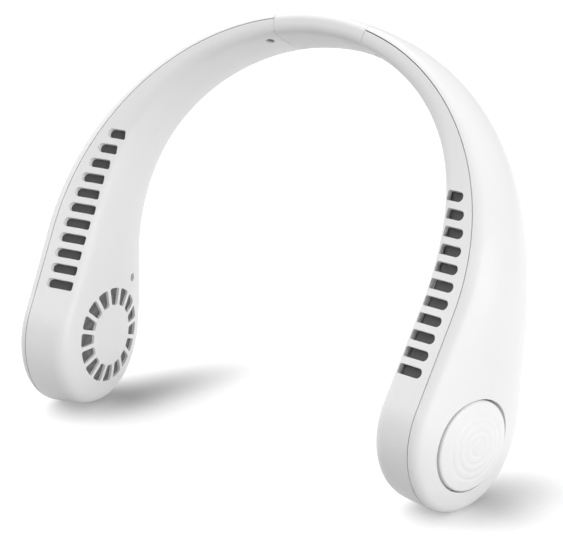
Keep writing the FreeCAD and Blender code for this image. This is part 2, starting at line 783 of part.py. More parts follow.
def motor_plate():
    low = PLATE_TOP - PLATE_THICKNESS
    plate = disc(PLATE_RADIUS, low, PLATE_TOP)
    holes = [disc(SCREW_SHANK + FIT_GAP, low, PLATE_TOP, x, y) for x, y in plate_places()]
    holes.append(disc(LEAD_HOLE_RADIUS, low, PLATE_TOP, 0, LEAD_HOLE_PLACE))
    notch = (-BOARD_TAB_HALF, BOARD_TAB_TOP)
    holes.append(block((PLATE_NOTCH, PLATE_RADIUS), notch, (low, PLATE_TOP)))
    return on_fan(plate.cut(Part.makeCompound(holes)))


def motor_can():
    top = PLATE_TOP - PLATE_THICKNESS
    low = top - MOTOR_LENGTH
    can = disc(MOTOR_RADIUS, low, top)
    return on_fan(can.cut(disc(BEARING_RADIUS, low, low + BEARING_LENGTH)))


def motor_bearing():
    low = PLATE_TOP - PLATE_THICKNESS - MOTOR_LENGTH
    return on_fan(ring(BEARING_RADIUS, SHAFT_RADIUS + RUNNING_GAP, low, low + BEARING_LENGTH))


def motor_shaft():
    low = PLATE_TOP - PLATE_THICKNESS - MOTOR_LENGTH
    end = low + BEARING_LENGTH - FIT_GAP
    return on_fan(disc(SHAFT_RADIUS, IMPELLER_TOP + CUP_ROOF / 2, end))


def impeller():
    """A cup over the motor with swept blades between it and a thin rim."""
    cup_radius = MOTOR_RADIUS + CUP_CLEARANCE + CUP_WALL
    roof = IMPELLER_TOP + CUP_ROOF
    cup = disc(cup_radius, IMPELLER_TOP, IMPELLER_BASE)
    cup = cup.cut(disc(cup_radius - CUP_WALL, roof, OVER))
    motor_end = PLATE_TOP - PLATE_THICKNESS - MOTOR_LENGTH
    hub = disc(HUB_RADIUS, IMPELLER_TOP, motor_end - (motor_end - roof) / 2)
    sweep = math.radians(BLADE_SWEEP)
    inner = cup_radius - CUP_WALL / 2
    outer = IMPELLER_RADIUS - RIM_THICKNESS / 2
    tip = Vector(outer * math.cos(sweep), outer * math.sin(sweep), IMPELLER_TOP)
    root = Vector(inner, 0, IMPELLER_TOP)
    lag = math.radians(BLADE_SWEEP * BLADE_LAG)
    middle = (inner + outer) / 2
    waist = Vector(middle * math.cos(lag), middle * math.sin(lag), IMPELLER_TOP)
    line = Part.Arc(root, waist, tip).toShape()
    far_line = turned(line, math.degrees(BLADE_THICKNESS / middle))
    corners = [vertex.Point for vertex in line.Vertexes + far_line.Vertexes]
    edges = [line, Part.makeLine(corners[1], corners[3]), far_line,
             Part.makeLine(corners[2], corners[0])]
    height = IMPELLER_BASE - IMPELLER_TOP
    blade = Part.Face(Part.Wire(Part.__sortEdges__(edges))).extrude(Vector(0, 0, height))
    blades = [turned(blade, 360.0 / BLADE_COUNT * index) for index in range(BLADE_COUNT)]
    rim_low = IMPELLER_BASE - RIM_HEIGHT
    rim = ring(IMPELLER_RADIUS, IMPELLER_RADIUS - RIM_THICKNESS, rim_low, IMPELLER_BASE)
    wheel = cup.multiFuse([hub, rim] + blades)
    wheel = wheel.common(disc(IMPELLER_RADIUS, IMPELLER_TOP, IMPELLER_BASE))
    return on_fan(wheel.cut(disc(SHAFT_RADIUS, IMPELLER_TOP + CUP_ROOF / 2, OVER)))


def screw(head_low, shank_top):
    head_top = head_low + SCREW_HEAD_HEIGHT
    return disc(SCREW_HEAD, head_low, head_top).fuse(disc(SCREW_SHANK, head_top, shank_top))


def motor_screws():
    low = PLATE_TOP - PLATE_THICKNESS - SCREW_HEAD_HEIGHT
    one = screw(low, PLATE_TOP + SCREW_LENGTH - FIT_GAP)
    return Part.makeCompound([on_fan(one.translated(Vector(x, y, 0))) for x, y in plate_places()])


def shell_screws():
    made = []
    for side, distance, post_end, length in SHELL_SCREWS:
        seat = post_end - POST_SHOULDER
        head = peg(SCREW_HEAD, seat - SCREW_HEAD_HEIGHT, seat, side, distance)
        shank = peg(SCREW_SHANK, seat, post_end + length - FIT_GAP, side, distance)
        made.append(head.fuse(shank))
    return Part.makeCompound(made)


def air_duct(room):
    """The wall round the fan, open towards the vents, and the floor under the vents."""
    low = -LOBE_FACE - LOBE_INNER_BULGE
    top = PLATE_TOP - PLATE_THICKNESS
    wall = ring(SCROLL_RADIUS + SCROLL_WALL, SCROLL_RADIUS, low, top)
    floor_x = DUCT_FLOOR - LOBE_DEPTH / 2
    mouth = block((-OVER, floor_x), (SCROLL_MOUTH_LOW, OVER), (low, top))
    wall = on_fan(wall.cut(mouth))
    start = ring_point(-RING_RADIUS, DUCT_FLOOR, LEG_LENGTH - DUCT_START)
    far = ring_point(OVER, DUCT_FLOOR, LEG_LENGTH - DUCT_START)
    end_angle = arch_angle(DUCT_END)
    corner = arch_point(RING_RADIUS, DUCT_FLOOR, (end_angle + 90.0) / 2)
    end = arch_point(OVER, DUCT_FLOOR, end_angle)
    slab = Part.Face(Part.makePolygon([start, far, corner, end, start]))
    slab = slab.extrude(Vector(0, DUCT_FLOOR_THICKNESS, 0))
    slab = slab.cut(on_fan(disc(SCROLL_RADIUS, -OVER, OVER)))
    return wall.fuse(slab).common(room)


def battery_ends():
    side = DUCT_FLOOR + DUCT_FLOOR_THICKNESS + CELL_GAP + CELL_RADIUS
    first = arm_point(-CELL_DROP, side, CELL_START)
    last = arm_point(-CELL_DROP, side, CELL_START + CELL_LENGTH)
    return first, last


def battery_cell(grow=0.0):
    first, last = battery_ends()
    return Part.makeCylinder(CELL_RADIUS + grow, CELL_LENGTH, first, last - first)


def battery_pad(room):
    """A foam strip between the cell and the inner shell."""
    first, last = battery_ends()
    along = (last - first).normalize()
    out = along.cross(Vector(0, 1, 0))
    if out.x > 0:
        out = out * -1
    length = CELL_LENGTH - 2 * PAD_SHORTER
    corner = first + along * PAD_SHORTER - Vector(0, PAD_WIDTH / 2, 0)
    edge = [corner, corner + along * length]
    edge += [edge[1] + Vector(0, PAD_WIDTH, 0), corner + Vector(0, PAD_WIDTH, 0), corner]
    slab = Part.Face(Part.makePolygon(edge)).extrude(out * OVER)
    return slab.cut(battery_cell(FIT_GAP)).common(room)


def neck_sleeve():
    """The soft bridge between the two seams, hollow for the strip and the wires."""
    half_gap = math.degrees(SEAM_GAP / 2 / RING_RADIUS)
    start = SEAM_ANGLE - half_gap

    def bar(inset):
        section = Section(SEAM_DISTANCE, inset)
        turn = start - SEAM_ANGLE
        face = Part.Face(section.wire()).rotated(Vector(0, 0, 0), Vector(0, 1, 0), turn)
        return face.revolve(Vector(0, 0, 0), Vector(0, 1, 0), -2 * start)

    return bar(0.0).cut(bar(SLEEVE_WALL))


def link_harness():
    """The lead that joins the two arms through the bridge."""
    out, side = flared(LEAD_OUT, LEAD_SIDE)
    half = SEAM_ANGLE - LEAD_END_GAP
    start = arch_point(out, side, -half)
    across = Vector(math.cos(math.radians(half)), 0, math.sin(math.radians(half)))
    mouth = Part.Face(Part.Wire(Part.makeCircle(LEAD_RADIUS, start, across)))
    return mouth.revolve(Vector(0, 0, 0), Vector(0, 1, 0), 2 * half)


def neck_rest():
    """The middle of the bridge's inner face, where it rests on the neck."""
    section = Section(SEAM_DISTANCE, 0.0)
    return arch_point(*flared(-section.face - section.inner_bulge, section.middle), 0.0)


def export(name, shape):
    """Leans a shape back as it stands, with the neck rest at the origin, and writes it."""
    moved = shape.copy()
    moved.Placement = Placement(-neck_rest(), Rotation()).multiply(moved.Placement)
    lean = Placement(Vector(0, 0, 0), Rotation(Vector(1, 0, 0), -LEAN))
    moved.Placement = lean.multiply(moved.Placement)
    if not moved.isValid():
        print("not valid:", name)
    print(name, len(moved.Solids), "solids", round(moved.Volume, 1), "cubic millimetres")
    moved.exportStep(os.path.join("parts", name + ".step"))


def mirrored(shape):
    return shape.mirror(Vector(0, 0, 0), Vector(1, 0, 0))


def arm_pieces():
    """The pieces that both arms have, drawn for the right arm."""
    skin = arm_body(0.0)
    hollow = arm_body(WALL, WALL)
    lip_skin = arm_body(WALL + FIT_GAP, WALL + FIT_GAP)
    lip_root = arm_body(WALL - LIP_THICKNESS / 2, WALL - LIP_THICKNESS / 2)
    lip_hollow = arm_body(WALL + FIT_GAP + LIP_THICKNESS, WALL + FIT_GAP + LIP_THICKNESS)
    room = arm_body(WALL + DUCT_CLEARANCE, WALL)
    return {
        "outer_shell": outer_shell(skin, hollow),
        "inner_shell": inner_shell(skin, hollow, lip_skin, lip_root, lip_hollow),
        "air_duct": air_duct(arm_body(WALL + FIT_GAP + LIP_THICKNESS + DUCT_CLEARANCE, WALL)),
        "motor_plate": motor_plate(),
        "motor_can": motor_can(),
        "motor_bearing": motor_bearing(),
        "motor_shaft": motor_shaft(),
        "motor_screws": motor_screws(),
        "impeller": impeller(),
        "battery": battery_cell(),
        "battery_pad": battery_pad(room),
        "shell_screws": shell_screws(),
        "vent_screen": vent_screen(),
        "intake_screen": intake_screen(),
        "leads": lead_line(0.0, SEAM_ANGLE),
    }


def main():
    os.makedirs("parts", exist_ok=True)
    arm = arm_pieces()
    for name, shape in arm.items():
        export("left_" + name, mirrored(shape))
    arm["outer_shell"] = with_board_posts(arm["outer_shell"])
    arm["inner_shell"] = with_charge_openings(arm["inner_shell"])
    for name, shape in arm.items():
        export("right_" + name, shape)
    export("power_button", power_button())
    export("switch_plunger", switch_plunger())
    export("switch_body", switch_body())
    export("control_board", control_board())
    export("charge_socket", charge_socket())
    export("charge_light", charge_light())
    export("left_cover_disc", mirrored(cover_disc()))
    export("neck_sleeve", neck_sleeve())
    export("spring_strip", strip_solid(0.0, STRIP_HALF_ANGLE))
    export("link_harness", link_harness())


main()
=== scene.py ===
"""Looks of the neck fan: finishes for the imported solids, finer surfaces over some of them, and the stage."""
import json
import math

import bpy
import numpy as np
from bpy.props import FloatProperty, FloatVectorProperty, IntProperty, PointerProperty
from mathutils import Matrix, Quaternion, Vector


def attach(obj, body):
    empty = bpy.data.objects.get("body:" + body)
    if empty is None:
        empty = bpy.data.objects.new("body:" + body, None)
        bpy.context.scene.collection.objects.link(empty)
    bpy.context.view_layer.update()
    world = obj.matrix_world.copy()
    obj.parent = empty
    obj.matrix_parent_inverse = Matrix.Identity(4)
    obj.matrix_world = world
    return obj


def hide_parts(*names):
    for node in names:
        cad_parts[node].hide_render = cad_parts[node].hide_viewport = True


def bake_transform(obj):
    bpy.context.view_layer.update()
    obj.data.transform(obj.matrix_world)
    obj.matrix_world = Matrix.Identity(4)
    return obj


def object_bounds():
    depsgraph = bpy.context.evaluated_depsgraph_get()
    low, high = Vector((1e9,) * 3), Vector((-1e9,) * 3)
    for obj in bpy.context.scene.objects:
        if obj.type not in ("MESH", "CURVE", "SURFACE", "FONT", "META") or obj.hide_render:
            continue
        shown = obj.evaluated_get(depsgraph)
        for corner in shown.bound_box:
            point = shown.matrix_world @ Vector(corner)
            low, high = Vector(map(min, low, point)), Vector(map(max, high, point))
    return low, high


bl_info = {
    "name": "Neck Fan",
    "version": (1, 0, 0),
    "blender": (4, 5, 0),
    "location": "3D View > Sidebar > Neck Fan",
    "description": "Builds the finishes and fine surfaces of a neck fan around its packed solids",
    "category": "Object",
}

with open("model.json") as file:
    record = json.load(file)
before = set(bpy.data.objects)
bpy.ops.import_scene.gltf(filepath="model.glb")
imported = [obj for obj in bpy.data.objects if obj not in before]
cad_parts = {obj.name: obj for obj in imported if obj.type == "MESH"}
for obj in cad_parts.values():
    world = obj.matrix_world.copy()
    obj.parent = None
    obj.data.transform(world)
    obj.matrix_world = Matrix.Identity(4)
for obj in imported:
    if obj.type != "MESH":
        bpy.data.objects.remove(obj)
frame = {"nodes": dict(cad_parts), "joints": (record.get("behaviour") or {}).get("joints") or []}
CAD_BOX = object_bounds()
JOINTS = {joint["name"]: joint for joint in frame["joints"]}
MM = 0.001
SIDES = ("right", "left")

# The ring frame, as the solids have it, in mm and degrees: where the arms and the bridge run
RING_RADIUS = 87.0
FLARE = 6.5
LEAN = 31.16
SEAM_ANGLE = 13.1
SEAM_GAP = 0.2
NECK_REST = np.array([0.0, 12.858, 82.106])

# Meshes: past this angle in degrees an edge stays crisp, and corners merge at this decimal of a metre
CRISP_ANGLE = 32.0
MERGE_DIGITS = 7

# Heights of the fine relief of the finishes, in metres
GRAIN_HEIGHT = 0.00002
TRACK_HEIGHT = 0.00005
THREAD_HEIGHT = 0.0001
CREASE_HEIGHT = 0.0002

# Plain colours and the ways that metal is drawn: under one along the streaks
BLACK = (0.0, 0.0, 0.0)
WHITE = (1.0, 1.0, 1.0)
RUBBER = (0.03, 0.03, 0.03)
BRIGHT_STEEL = (0.62, 0.62, 0.63)
DRAWN_ALONG = (0.1, 1.0, 1.0)
DRAWN_ROUND = (1.0, 0.1, 0.1)

# The sockets of a Mix node that take and give colours
MIX_FACTOR = 0
MIX_FIRST = 6
MIX_SECOND = 7
MIX_RESULT = 2


class FanSizes(bpy.types.PropertyGroup):
    """Sizes that a user would change."""

    disc_radius: FloatProperty(
        name="Disc radius", description="Radius of the round disc on each lobe",
        default=15.5 * MM, unit="LENGTH")
    disc_lower: FloatProperty(
        name="Disc drop", description="How far the disc's axis lies below the fan's axis",
        default=2.9 * MM, unit="LENGTH")
    disc_forward: FloatProperty(
        name="Disc forward", description="How far the disc's axis lies before the fan's axis",
        default=1.8 * MM, unit="LENGTH")
    disc_rings: IntProperty(
        name="Disc rings", description="Round grooves in the disc", default=4, min=0, max=8)
    ring_depth: FloatProperty(
        name="Ring depth", description="Depth of a round groove in the disc",
        default=0.14 * MM, unit="LENGTH")
    edge_round: FloatProperty(
        name="Edge rounding", description="Rounding of the moulded edges",
        default=0.25 * MM, unit="LENGTH")


class FanColours(bpy.types.PropertyGroup):
    """Colours that a user would change."""

    shell: FloatVectorProperty(
        name="Shell", description="White of the moulded shells", subtype="COLOR",
        default=(0.88, 0.88, 0.88), min=0.0, max=1.0)
    disc: FloatVectorProperty(
        name="Disc", description="White of the round discs", subtype="COLOR",
        default=(0.91, 0.91, 0.91), min=0.0, max=1.0)
    sleeve: FloatVectorProperty(
        name="Sleeve", description="White of the soft bridge", subtype="COLOR",
        default=(0.87, 0.87, 0.87), min=0.0, max=1.0)
    # The screen's dark grey is painted shade: a dark gauze sheet behind the vents, where the inside of the arm
    # lies in shade
    screen: FloatVectorProperty(
        name="Screen", description="Dark grey of the gauze behind the vents", subtype="COLOR",
        default=(0.085, 0.085, 0.085), min=0.0, max=1.0)
    # The intake screen's grey is painted shade: a grey gauze sheet behind the intake slots, where the inside
    # lies in shade
    intake: FloatVectorProperty(
        name="Intake screen", description="Grey of the gauze behind the intake slots", subtype="COLOR",
        default=(0.14, 0.14, 0.14), min=0.0, max=1.0)
    # The duct is a real part; its dark grey is painted shade, for the shade inside the vents
    duct: FloatVectorProperty(
        name="Duct", description="Dark grey of the air duct", subtype="COLOR",
        default=(0.07, 0.07, 0.07), min=0.0, max=1.0)
    impeller: FloatVectorProperty(
        name="Impeller", description="Dark grey of the fan wheel", subtype="COLOR",
        default=(0.08, 0.08, 0.08), min=0.0, max=1.0)
    floor: FloatVectorProperty(
        name="Floor", description="Pale floor", subtype="COLOR",
        default=(0.9, 0.9, 0.9), min=0.0, max=1.0)


class Value:
    """A shader socket that takes part in Python expressions and adds Math nodes for them."""

    def __init__(self, tree, socket):
        self.tree = tree
        self.socket = socket

    def __add__(self, other):
        return self.tree.math("ADD", self, other)

    __radd__ = __add__

    def __mul__(self, other):
        return self.tree.math("MULTIPLY", self, other)

    __rmul__ = __mul__

    def __sub__(self, other):
        return self.tree.math("SUBTRACT", self, other)

    def __rsub__(self, other):
        return self.tree.math("SUBTRACT", other, self)


class Tree:
    """A node tree whose nodes all come from one method."""

    def __init__(self, tree):
        self.nodes = tree.nodes
        self.links = tree.links

    def node(self, kind, settings, inputs, output=0):
        """Adds a node: its settings first, then the values or links of its sockets."""
        made = self.nodes.new(kind)
        for key, value in settings.items():
            setattr(made, key, value)
        for key, value in inputs.items():
            self.plug(made.inputs[key], value)
        return Value(self, made.outputs[output])

    def plug(self, socket, value):
        """Links a value to a socket, or sets the socket to a number, a colour or a vector."""
        if isinstance(value, Value):
            self.links.new(value.socket, socket)
        elif socket.type == "RGBA" and len(value) == 3:
            socket.default_value = (*value, 1.0)
        else:
            socket.default_value = value

    def math(self, operation, first, second=0.0):
        """One step of arithmetic on one or two values."""
        return self.node("ShaderNodeMath", {"operation": operation}, {0: first, 1: second})

    def mix(self, factor, first, second):
        """The first colour where the factor is nought, the second where it is one."""
        values = {MIX_FACTOR: factor, MIX_FIRST: first, MIX_SECOND: second}
        return self.node("ShaderNodeMix", {"data_type": "RGBA"}, values, MIX_RESULT)


class Finish(Tree):
    """One procedural material, on Object coordinates."""

    def __init__(self, name):
        self.material = bpy.data.materials.new(name)
        self.material.use_nodes = True
        super().__init__(self.material.node_tree)
        self.shader = self.nodes["Principled BSDF"]
        self.place = self.node("ShaderNodeTexCoord", {}, {}, "Object")

    def set(self, **values):
        """Sets the shader's sockets by name, with underscores for spaces."""
        for key, value in values.items():
            self.plug(self.shader.inputs[key.replace("_", " ")], value)

    def noise(self, scale, detail, stretch=None):
        """Clouds, as many as the scale in a metre, drawn out along an axis whose stretch is under one."""
        place = self.place
        if stretch is not None:
            place = self.node("ShaderNodeMapping", {}, {"Vector": place, "Scale": stretch})
        values = {"Vector": place, "Scale": scale, "Detail": detail}
        return self.node("ShaderNodeTexNoise", {}, values, "Fac")

    def tint(self, factor, colour, low, high):
        """A colour between two strengths of itself."""
        return self.mix(factor, shade(colour, low), shade(colour, high))

    def bump(self, height, strength, distance):
        """A normal that leans with the slope of a height, given in shares of a distance."""
        values = {"Height": height, "Strength": strength, "Distance": distance}
        return self.node("ShaderNodeBump", {}, values, "Normal")


def shade(colour, factor):
    """A colour times a factor, held at white."""
    return tuple(min(1.0, part * factor) for part in colour)


def between(factor, low, high):
    """The low value where the factor is nought, the high one where it is one."""
    return factor * (high - low) + low


def moulded(name, colour, roughness):
    """Moulded plastic: a fine even grain, faint clouds in colour and polish."""
    spread = 0.05
    look = Finish(name)
    clouds = look.noise(scale=60.0, detail=3.0)
    fine = look.noise(scale=2600.0, detail=2.0)
    look.set(Base_Color=look.tint(clouds, colour, low=0.985, high=1.015))
    look.set(Roughness=clouds * spread + fine * spread + (roughness - spread))
    look.set(Normal=look.bump(fine, strength=0.35, distance=GRAIN_HEIGHT))
    return look.material


def metal(name, colour, roughness, stretch=None):
    """Drawn or plated metal: fine streaks one way."""
    spread = 0.1
    look = Finish(name)
    streaks = look.noise(scale=900.0, detail=3.0, stretch=stretch)
    look.set(Metallic=1.0)
    look.set(Base_Color=look.tint(streaks, colour, low=0.85, high=1.1))
    look.set(Roughness=between(streaks, roughness - spread, roughness + spread))
    look.set(Normal=look.bump(streaks, strength=0.2, distance=GRAIN_HEIGHT))
    return look.material


def woven(name, colour, pitch):
    """Gauze: threads both ways, as the higher of two rows of waves, dark between them."""
    look = Finish(name)
    values = {"Vector": look.place, "Scale": 1.0 / pitch, "Distortion": 0.3}
    rows = [look.node("ShaderNodeTexWave", {"bands_direction": way}, values, "Fac") for way in "XZ"]
    weave = look.math("MAXIMUM", rows[0], rows[1])
    look.set(Base_Color=look.tint(weave, colour, low=0.55, high=1.15))
    look.set(Roughness=between(weave, low=0.8, high=0.65))
    look.set(Normal=look.bump(weave, strength=0.4, distance=THREAD_HEIGHT))
    return look.material


def speckled(name, colour, size, contrast, roughness, metallic=0.0):
    """Grains or open cells: a Voronoi pattern darkened towards the borders of its cells."""
    rise = 4.0
    gloss = 0.1
    look = Finish(name)
    values = {"Vector": look.place, "Scale": 1.0 / size}
    cells = look.node("ShaderNodeTexVoronoi", {"feature": "DISTANCE_TO_EDGE"}, values, "Distance")
    inside = look.math("MINIMUM", cells * rise, 1.0)
    look.set(Metallic=metallic)
    look.set(Base_Color=look.tint(inside, colour, low=1.0 - contrast, high=1.0))
    look.set(Roughness=between(inside, roughness, roughness - gloss))
    look.set(Normal=look.bump(inside, strength=0.5, distance=THREAD_HEIGHT))
    return look.material


def lacquered(name, colour, copper):
    """A circuit board: lacquer over straight copper tracks, glossier on the tracks."""
    look = Finish(name)
    values = {"Vector": look.place, "Scale": 260.0, "Mortar Size": 0.05}
    tracks = look.node("ShaderNodeTexBrick", {"offset": 0.35, "squash": 1.6}, values, "Fac")
    clouds = look.noise(scale=90.0, detail=2.0)
    look.set(Base_Color=look.mix(tracks, shade(colour, 0.9), copper))
    look.set(Roughness=between(clouds, low=0.25, high=0.35))
    look.set(Coat_Weight=between(tracks, low=0.3, high=0.8))
    look.set(Normal=look.bump(tracks, strength=0.3, distance=TRACK_HEIGHT))
    return look.material


def wrapped(name, colour):
    """Shrunk film: glossy, with faint creases that run up."""
    look = Finish(name)
    creases = look.noise(scale=140.0, detail=4.0, stretch=(1.0, 1.0, 0.25))
    look.set(Base_Color=look.tint(creases, colour, low=0.9, high=1.1))
    look.set(Roughness=between(creases, low=0.2, high=0.32), Coat_Weight=0.4)
    look.set(Normal=look.bump(creases, strength=0.25, distance=CREASE_HEIGHT))
    return look.material


def milky(name, colour):
    """A light guide: milky, a little see-through."""
    look = Finish(name)
    clouds = look.noise(scale=300.0, detail=2.0)
    look.set(Base_Color=look.tint(clouds, colour, low=0.95, high=1.0))
    look.set(Roughness=between(clouds, low=0.2, high=0.3), Transmission_Weight=0.4, Coat_Weight=0.3)
    return look.material


def unit(vector):
    """A vector over its length."""
    return vector / np.linalg.norm(vector)


def to_part(points):
    """Ring frame to the part's frame: measured from the neck rest, then leant back about X."""
    turn = math.radians(LEAN)
    moved = (points - NECK_REST) * MM
    back = math.cos(turn) * moved[..., 1] + math.sin(turn) * moved[..., 2]
    up = math.cos(turn) * moved[..., 2] - math.sin(turn) * moved[..., 1]
    return np.stack([moved[..., 0], back, up], axis=-1)


def arch(out, side, angle):
    """A point of the arch: out from the ring's line and back from the vents, at an angle from the top."""
    flare = math.radians(FLARE)
    reach = RING_RADIUS + out * math.cos(flare) + side * math.sin(flare)
    back = side * math.cos(flare) - out * math.sin(flare)
    places = np.broadcast_arrays(reach * np.sin(angle), back, reach * np.cos(angle))
    return to_part(np.stack(places, axis=-1))


def fan_frame(side):
    """The middle of a side's fan and its directions: back, up the arm and out of the lobe."""
    joint = JOINTS["right_impeller_spin"]
    ring_back = -np.array(JOINTS["right_arm_flex"]["axis"])
    out = np.array(joint["axis"])
    up = unit(np.cross(out, ring_back))
    directions = np.array([np.cross(up, out), up, out])
    middle = np.array(joint["pos_m"])
    if side == "left":
        middle = middle * (-1, 1, 1)
        directions = directions * (-1, 1, 1)
    return middle, directions


def filled_mesh(name, points, faces):
    """A smooth mesh whose edges stay crisp past an angle."""
    mesh = bpy.data.meshes.new(name)
    mesh.from_pydata(points.tolist(), [], faces)
    mesh.shade_smooth()
    mesh.set_sharp_from_angle(angle=math.radians(CRISP_ANGLE))
    return mesh


def closed_mesh(name, rings):
    """A closed surface over rings of points: quads between neighbours and a fan over each end.

    The faces are turned where the sum of corner . (corner x corner), six times the volume, is negative.
    """
    count, around = rings.shape[:2]
    points = np.concatenate([rings.reshape(-1, 3), rings[0].mean(0)[None], rings[-1].mean(0)[None]])
    index = np.arange(count * around).reshape(count, around)
    ahead = np.roll(index, -1, axis=1)
    quads = np.stack([index[:-1], ahead[:-1], ahead[1:], index[1:]], axis=-1).reshape(-1, 4)
    first = np.stack([ahead[0], index[0], np.full(around, count * around)], axis=-1)
    last = np.stack([index[-1], ahead[-1], np.full(around, count * around + 1)], axis=-1)
    halves = np.concatenate([quads[:, [0, 1, 2]], quads[:, [0, 2, 3]], first, last])
    corner = points[halves]
    volume = np.einsum("ij,ij->i", corner[:, 0], np.cross(corner[:, 1], corner[:, 2])).sum()
    faces = quads.tolist() + first.tolist() + last.tolist()
    if volume < 0:
        faces = [face[::-1] for face in faces]
    return filled_mesh(name, points, faces)


def merged_copy(name, node):
    """A node's triangles with their shared corners merged, so that its curved faces shade smoothly."""
    data = frame["nodes"][node].data
    places = np.empty(len(data.vertices) * 3, np.float32)
    data.vertices.foreach_get("co", places)
    data.calc_loop_triangles()
    corners = np.empty(len(data.loop_triangles) * 3, np.int32)
    data.loop_triangles.foreach_get("vertices", corners)
    rounded = np.round(places.reshape(-1, 3), MERGE_DIGITS)
    points, shared = np.unique(rounded, axis=0, return_inverse=True)
    faces = shared.reshape(-1)[corners].reshape(-1, 3)
    whole = (faces != np.roll(faces, 1, axis=1)).all(axis=1)
    return filled_mesh(name, points, faces[whole].tolist())


def add_piece(name, mesh, material, nodes=()):
    """Links a piece with its finish and hides the CAD nodes that it stands for."""
    mesh.materials.append(material)
    piece = bpy.data.objects.new(name, mesh)
    bpy.context.scene.collection.objects.link(piece)
    if nodes:
        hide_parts(*nodes)
    return piece


def paint(node, material):
    """Gives a CAD node's object one material."""
    slots = frame["nodes"][node].data.materials
    slots.clear()
    slots.append(material)


class NECKFAN_OT_shells(bpy.types.Operator):
    """Finishes the shells of both arms"""

    bl_idname = "neckfan.shells"
    bl_label = "Arm shells"

    rounded_past = 40.0
    round_steps = 2

    def execute(self, context):
        sizes = context.scene.neck_fan_sizes
        plastic = moulded("shell_plastic", context.scene.neck_fan_colours.shell, roughness=0.36)
        for side in SIDES:
            for half in ("outer", "inner"):
                node = side + "_" + half + "_shell"
                name = node + "_skin"
                skin = add_piece(name, merged_copy(name, node), plastic, [node])
                rounding = skin.modifiers.new("rounded edges", "BEVEL")
                rounding.width = sizes.edge_round
                rounding.segments = self.round_steps
                rounding.limit_method = "ANGLE"
                rounding.angle_limit = math.radians(self.rounded_past)
                rounding.harden_normals = True
                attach(skin, side + "_arm")
        return {"FINISHED"}


class NECKFAN_OT_discs(bpy.types.Operator):
    """Makes the round disc of each lobe: the power button on the right, a cover on the left"""

    bl_idname = "neckfan.discs"
    bl_label = "Round discs"

    # In mm, heights along the fan's axis from its middle, and how many points the surface has each way
    base = 3.6
    dome_top = 9.5
    dome_radius = 54.152
    proud = 0.6
    rim_round = 0.6
    foot_round = 0.3
    first_ring = 3.0
    ring_pitch = 2.7
    ring_half = 0.6
    ring_steepness = 4
    pole = 0.1
    across_points = 150
    rim_points = 9
    around_points = 160

    def execute(self, context):
        sizes = context.scene.neck_fan_sizes
        plastic = moulded("disc_plastic", context.scene.neck_fan_colours.disc, roughness=0.3)
        places = (("right", "power_button", "button"), ("left", "left_cover_disc", "left_arm"))
        for side, node, body in places:
            rings = self.surface(sizes, side)
            piece = add_piece(side + "_disc", closed_mesh(side + "_disc", rings), plastic, [node])
            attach(piece, body)
        return {"FINISHED"}

    def surface(self, sizes, side):
        """Height at each radius and turn: the lobe's dome, a little proud, less grooves and a rounded rim.

        A groove is the depth times e to minus a steep power of the distance from its middle over its half.
        """
        radius = sizes.disc_radius / MM
        drop = sizes.disc_lower / MM
        forward = sizes.disc_forward / MM
        flat = np.linspace(self.pole, radius - self.rim_round, self.across_points)
        places = self.first_ring + self.ring_pitch * np.arange(sizes.disc_rings)
        away = (flat[:, None] - places) / self.ring_half
        relief = -np.exp(-(away ** self.ring_steepness)).sum(axis=1) * sizes.ring_depth / MM
        bend = np.linspace(0.0, math.pi / 2, self.rim_points)[1:]
        rim = radius - self.rim_round + self.rim_round * np.sin(bend)
        below = self.rim_round * (np.cos(bend) - 1.0)
        reach = np.concatenate([flat, rim])
        lift = np.concatenate([relief, below])
        turn = np.linspace(0.0, 2 * math.pi, self.around_points, endpoint=False)
        x = reach[:, None] * np.cos(turn)
        y = reach[:, None] * np.sin(turn)
        sagged = np.sqrt(self.dome_radius ** 2 - (x - forward) ** 2 - (y - drop) ** 2)
        z = self.dome_top + self.proud - self.dome_radius + sagged + lift[:, None]
        foot = np.array([
            (radius, self.base + self.foot_round),
            (radius - self.foot_round, self.base),
            (self.pole, self.base)])
        x = np.concatenate([x, foot[:, :1] * np.cos(turn)])
        y = np.concatenate([y, foot[:, :1] * np.sin(turn)])
        z = np.concatenate([z, foot[:, 1:] + 0.0 * turn])
        middle, directions = fan_frame(side)
        return middle + (np.stack([x - forward, y - drop, z], axis=-1) * MM) @ directions


